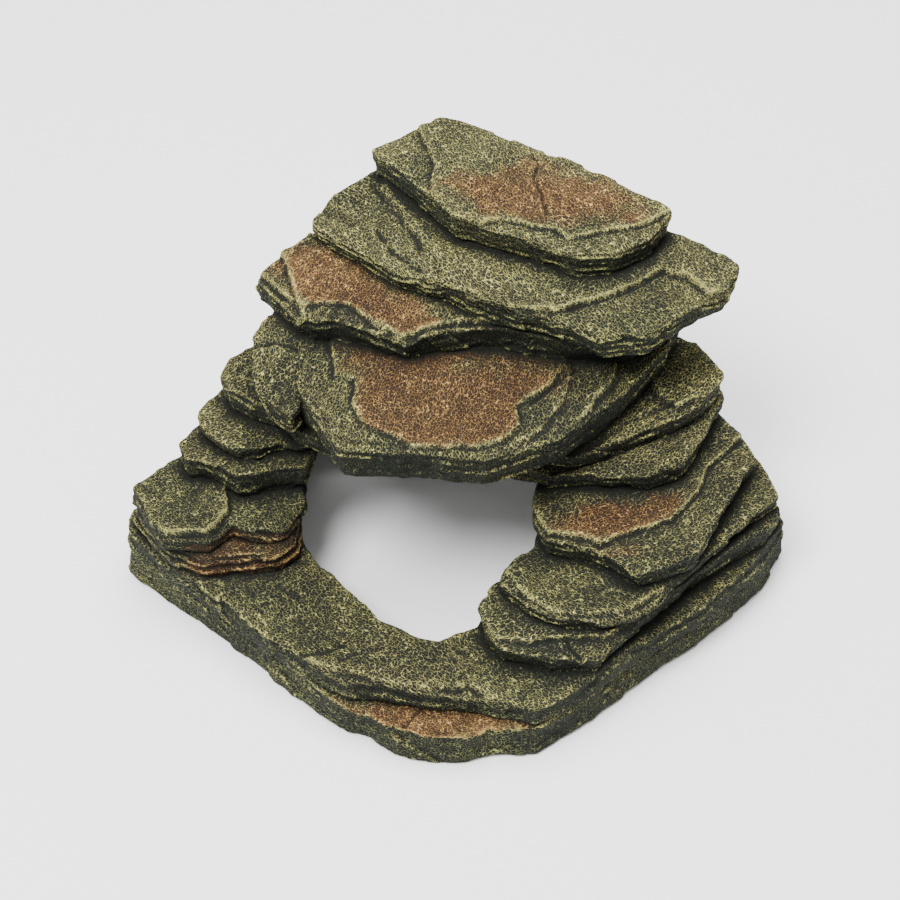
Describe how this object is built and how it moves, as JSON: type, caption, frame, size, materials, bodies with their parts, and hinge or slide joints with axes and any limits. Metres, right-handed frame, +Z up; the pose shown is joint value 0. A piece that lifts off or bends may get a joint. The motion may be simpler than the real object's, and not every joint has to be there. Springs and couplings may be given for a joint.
{
  "type": "aquarium cave ornament",
  "caption": "Free-standing swim-through arch of stacked flat resin stones on a ring base, for fish to shelter in and pass through.",
  "frame": {"origin": "centre of the bounding box on the tank floor", "axes": "-Y out of the entrance, +X to the right of someone looking in, +Z up"},
  "size_m": [0.2598, 0.208, 0.136],
  "materials": {
    "resin_moss": "hand-painted charcoal green, olive dry-brushed",
    "resin_dark_moss": "hand-painted dark charcoal green, olive dry-brushed",
    "resin_rust_patch": "hand-painted green with rust-orange patches",
    "resin_rust_ledge": "hand-painted green with rust-orange bands"
  },
  "bodies": {
    "root": {"base_ring": "resin_rust_ledge", "threshold_ring": "resin_moss", "left_foot_lower": "resin_rust_ledge", "left_foot_upper": "resin_dark_moss", "left_pier_slab": "resin_dark_moss", "left_pier_cap": "resin_dark_moss", "left_shoulder_lower": "resin_dark_moss", "left_shoulder_upper": "resin_dark_moss", "right_foot_lower": "resin_moss", "right_foot_upper": "resin_moss", "right_pier_slab": "resin_rust_patch", "right_shoulder_lower": "resin_dark_moss", "right_shoulder_upper": "resin_dark_moss", "lintel_slab": "resin_rust_patch", "mid_slab": "resin_rust_patch", "upper_slab": "resin_moss", "crown_slab": "resin_rust_patch"}
  },
  "joints": []
}
